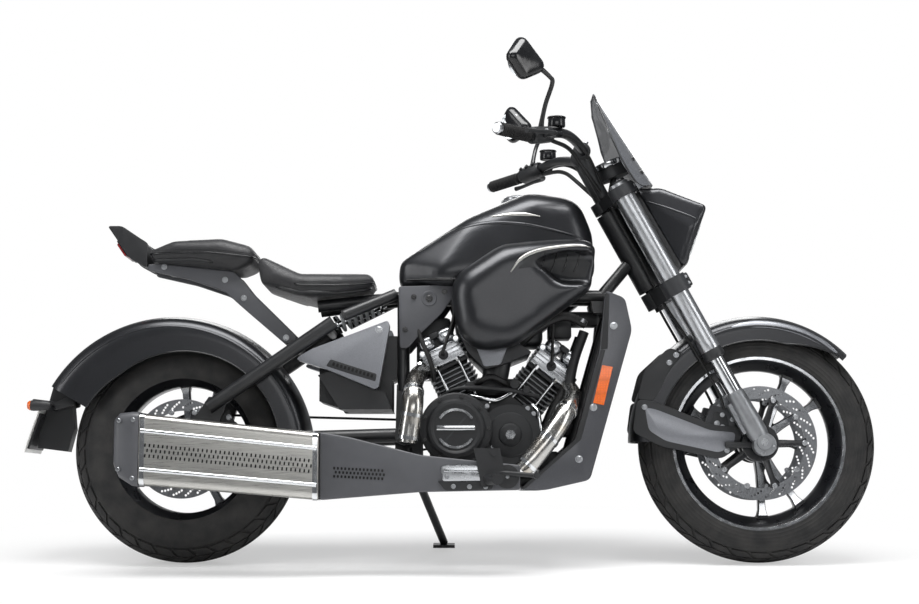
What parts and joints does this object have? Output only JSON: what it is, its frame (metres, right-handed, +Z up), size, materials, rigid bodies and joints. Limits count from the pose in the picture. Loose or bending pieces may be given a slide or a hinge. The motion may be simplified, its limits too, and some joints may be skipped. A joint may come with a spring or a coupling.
{
  "type": "cruiser motorcycle",
  "caption": "Low cruiser motorcycle with a V-twin engine and a side muffler, leaning on its side stand; wheels, steering and stand move.",
  "frame": {"origin": "middle of the box of the parked motorcycle, on the floor", "axes": "+X forward, +Y to the motorcycle's left, +Z up; the motorcycle leans 6.5 degrees to its left"},
  "size_m": [2.2212, 0.9134, 1.343],
  "materials": {
    "frame_black": "satin",
    "shock_steel": "polished",
    "charcoal_paint": "satin",
    "grey_metallic_paint": "satin",
    "black_moulding": "matt",
    "radiator_core": "satin",
    "dark_grey_paint": "satin",
    "amber_lens": "gloss",
    "black_casting": "satin",
    "polished_casting": "satin",
    "header_steel": "satin",
    "exhaust_black": "matt",
    "brushed_steel": "brushed",
    "seat_vinyl": "matt",
    "red_lens": "gloss",
    "plate_white": "satin",
    "machined_aluminium": "satin",
    "caliper_metal": "satin",
    "belt_rubber": "matt",
    "fork_aluminium": "satin",
    "lamp_glass": "clear",
    "smoked_screen": "smoked",
    "grip_rubber": "matt",
    "tyre_rubber": "matt",
    "wheel_black": "satin",
    "disc_steel": "brushed",
    "pulley_black": "satin"
  },
  "bodies": {
    "chassis": {"frame": "frame_black", "frame_cradle": "frame_black", "swingarm": "frame_black", "rear_shock": "shock_steel", "fuel_tank": "charcoal_paint", "side_cowls": "charcoal_paint", "side_covers": "grey_metallic_paint", "battery_box": "black_moulding", "radiator": "radiator_core", "radiator_shrouds": "dark_grey_paint", "side_reflectors": "amber_lens", "crankcase": "black_casting", "front_cylinder": "polished_casting", "rear_cylinder": "polished_casting", "clutch_cover": "black_casting", "alternator_cover": "black_casting", "intake_cover": "grey_metallic_paint", "front_exhaust_pipe": "header_steel", "rear_exhaust_pipe": "header_steel", "exhaust_box": "exhaust_black", "muffler": "brushed_steel", "muffler_end_cap": "exhaust_black", "rider_seat": "seat_vinyl", "pillion_seat": "seat_vinyl", "seat_support": "grey_metallic_paint", "tail_hoop": "black_moulding", "tail_lamp": "red_lens", "rear_fender": "charcoal_paint", "plate_bracket": "black_moulding", "number_plate": "plate_white", "rear_indicators": "black_moulding", "footrests": "machined_aluminium", "rear_caliper": "caliper_metal", "drive_belt": "belt_rubber", "rear_axle": "machined_aluminium"},
    "steering": {"steering_yokes": "frame_black", "fork_legs": "fork_aluminium", "front_axle": "machined_aluminium", "front_fender": "charcoal_paint", "fender_brackets": "grey_metallic_paint", "headlamp_cowl": "charcoal_paint", "headlamp": "lamp_glass", "windscreen": "smoked_screen", "instrument_pod": "black_moulding", "handlebar": "frame_black", "grips": "grip_rubber", "hand_controls": "black_moulding", "mirrors": "black_moulding", "front_calipers": "caliper_metal"},
    "front_wheel": {"front_tyre": "tyre_rubber", "front_rim": "wheel_black", "front_discs": "disc_steel"},
    "rear_wheel": {"rear_tyre": "tyre_rubber", "rear_rim": "wheel_black", "rear_disc": "disc_steel", "rear_pulley": "pulley_black"},
    "stand": {"side_stand": "frame_black"}
  },
  "joints": [
    {"name": "steering_turn", "type": "hinge", "parent": "chassis", "child": "steering", "pos_m": [0.47316, -0.03148, 0.81199], "axis": [-0.4772, 0.0995, 0.8732], "range_deg": [-35, 35]},
    {"name": "front_wheel_spin", "type": "hinge", "parent": "steering", "child": "front_wheel", "pos_m": [0.799, -0.08875, 0.30943], "axis": [0, 0.9936, -0.1132], "continuous": true},
    {"name": "rear_wheel_spin", "type": "hinge", "parent": "chassis", "child": "rear_wheel", "pos_m": [-0.698, -0.09054, 0.29367], "axis": [0, 0.9936, -0.1132], "continuous": true},
    {"name": "stand_fold", "type": "hinge", "parent": "chassis", "child": "stand", "pos_m": [-0.088, 0.01343, 0.18765], "axis": [0.1036, 0.7131, 0.6933], "range_deg": [0, 99.2]}
  ]
}
